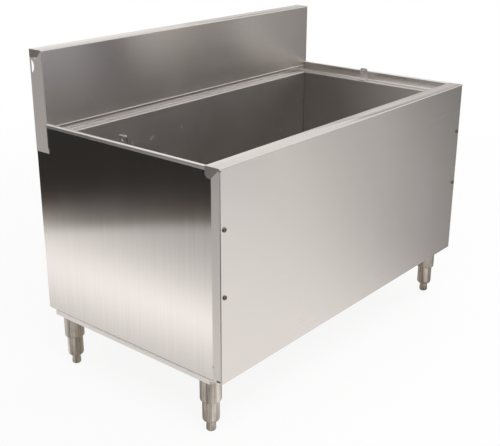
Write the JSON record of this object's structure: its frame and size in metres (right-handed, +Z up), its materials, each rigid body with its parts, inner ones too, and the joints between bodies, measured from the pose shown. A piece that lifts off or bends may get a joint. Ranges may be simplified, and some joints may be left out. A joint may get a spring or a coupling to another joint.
{
  "type": "underbar beer bath",
  "caption": "Insulated stainless steel underbar tub with a tall folded backsplash, a screwed-on front apron, recessed rim ledges, a lift-out overflow pipe and levelling legs.",
  "frame": {"origin": "on the floor, under the middle of the bath's overall box", "axes": "+X to the right seen from the bartender's side, -Y to the front, +Z up"},
  "size_m": [1.067, 0.61, 0.8416],
  "materials": {
    "cabinet_steel": "brushed",
    "tub_steel": "brushed",
    "leg_steel": "satin",
    "fastener_steel": "dark",
    "drain_metal": "polished",
    "foam_board": "foam",
    "seal_rubber": "matt"
  },
  "bodies": {
    "cabinet": {"apron_clip_nuts": "fastener_steel", "apron_screws": "fastener_steel", "back_panel": "cabinet_steel", "back_panel_rivets": "fastener_steel", "backsplash": "cabinet_steel", "base_bolts": "fastener_steel", "base_channel_left": "cabinet_steel", "base_channel_right": "cabinet_steel", "base_nuts": "fastener_steel", "bottom_panel": "cabinet_steel", "drain_body": "drain_metal", "drain_coupling_nut": "drain_metal", "drain_gasket": "seal_rubber", "drain_locknut": "drain_metal", "drain_tailpiece": "drain_metal", "front_apron": "cabinet_steel", "front_rail": "cabinet_steel", "insulation_floor": "foam_board", "insulation_front": "foam_board", "insulation_left": "foam_board", "insulation_rear": "foam_board", "insulation_right": "foam_board", "leg_set_screws": "fastener_steel", "leg_socket_front_left": "leg_steel", "leg_socket_front_right": "leg_steel", "leg_socket_rear_left": "leg_steel", "leg_socket_rear_right": "leg_steel", "leg_tube_front_left": "leg_steel", "leg_tube_front_right": "leg_steel", "leg_tube_rear_left": "leg_steel", "leg_tube_rear_right": "leg_steel", "lock_tab_left": "cabinet_steel", "lock_tab_right": "cabinet_steel", "rear_rail": "cabinet_steel", "rim_cap_left": "cabinet_steel", "rim_cap_right": "cabinet_steel", "side_panel_left": "cabinet_steel", "side_panel_right": "cabinet_steel", "tub_end_left": "tub_steel", "tub_end_right": "tub_steel", "tub_wrap": "tub_steel"},
    "foot_front_left": {"bullet_foot_front_left": "leg_steel"},
    "foot_front_right": {"bullet_foot_front_right": "leg_steel"},
    "foot_rear_left": {"bullet_foot_rear_left": "leg_steel"},
    "foot_rear_right": {"bullet_foot_rear_right": "leg_steel"},
    "overflow": {"overflow_standpipe": "drain_metal", "standpipe_seal": "seal_rubber"}
  },
  "joints": [
    {"name": "foot_front_left_level", "type": "slide", "parent": "cabinet", "child": "foot_front_left", "axis": [0, 0, -1], "range_m": [0, 0.025]},
    {"name": "foot_front_right_level", "type": "slide", "parent": "cabinet", "child": "foot_front_right", "axis": [0, 0, -1], "range_m": [0, 0.025]},
    {"name": "foot_rear_left_level", "type": "slide", "parent": "cabinet", "child": "foot_rear_left", "axis": [0, 0, -1], "range_m": [0, 0.025]},
    {"name": "foot_rear_right_level", "type": "slide", "parent": "cabinet", "child": "foot_rear_right", "axis": [0, 0, -1], "range_m": [0, 0.025]},
    {"name": "overflow_lift", "type": "slide", "parent": "cabinet", "child": "overflow", "axis": [0, 0, 1], "range_m": [0, 0.06]}
  ]
}
